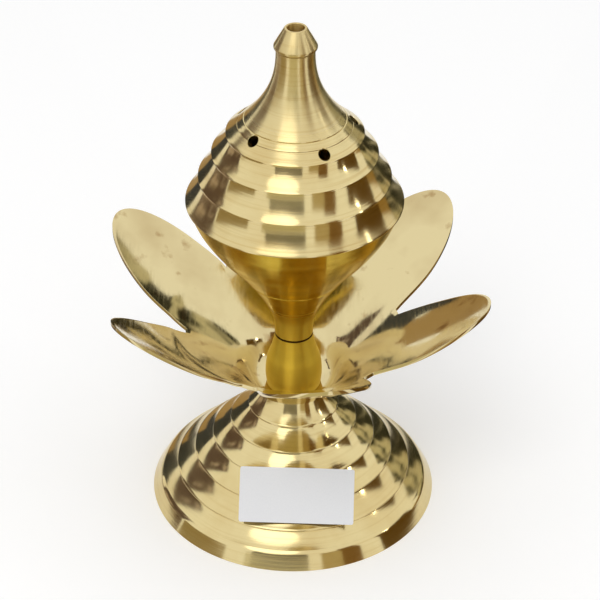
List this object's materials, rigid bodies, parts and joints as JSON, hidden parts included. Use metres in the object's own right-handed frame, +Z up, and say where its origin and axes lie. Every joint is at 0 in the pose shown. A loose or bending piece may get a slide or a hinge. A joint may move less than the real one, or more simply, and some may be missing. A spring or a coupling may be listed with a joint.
{
  "type": "incense stick holder",
  "caption": "Brass incense stick holder: tiered bell base, open lotus plate, turned stem and a cup with a tiered dome lid that has slanted stick holes and a vented tip.",
  "frame": {"origin": "centre of the foot ring, on the surface that the holder stands on", "axes": "+Z up along the turned axis, -Y to the front where the label is, +X to the right seen from the front"},
  "size_m": [0.09, 0.0958, 0.1272],
  "materials": {
    "brass": "lathe-polished",
    "screw_steel": "zinc plated",
    "label_paper": "matte"
  },
  "bodies": {
    "stand": {"base_bell": "brass", "lotus_plate": "brass", "stem": "brass", "tie_screw": "screw_steel", "screw_washer": "screw_steel", "paper_label": "label_paper"},
    "neck_thread": {"neck_stud": "brass"},
    "burner": {"cup": "brass"},
    "lid": {"dome": "brass", "finial": "brass"}
  },
  "joints": [
    {"name": "burner_turn", "type": "hinge", "parent": "stand", "child": "neck_thread", "pos_m": [0, 0, 0.0455], "axis": [0, 0, 1], "range_deg": [0, 2880]},
    {"name": "burner_rise", "type": "slide", "parent": "neck_thread", "child": "burner", "axis": [0, 0, 1], "range_m": [0, 0.00561]},
    {"name": "lid_lift", "type": "slide", "parent": "burner", "child": "lid", "axis": [0, 0, 1], "range_m": [0, 0.045]}
  ],
  "couplings": [
    {"joint": "burner_rise", "follows": "burner_turn", "m_per_rad": 0.00011141}
  ]
}
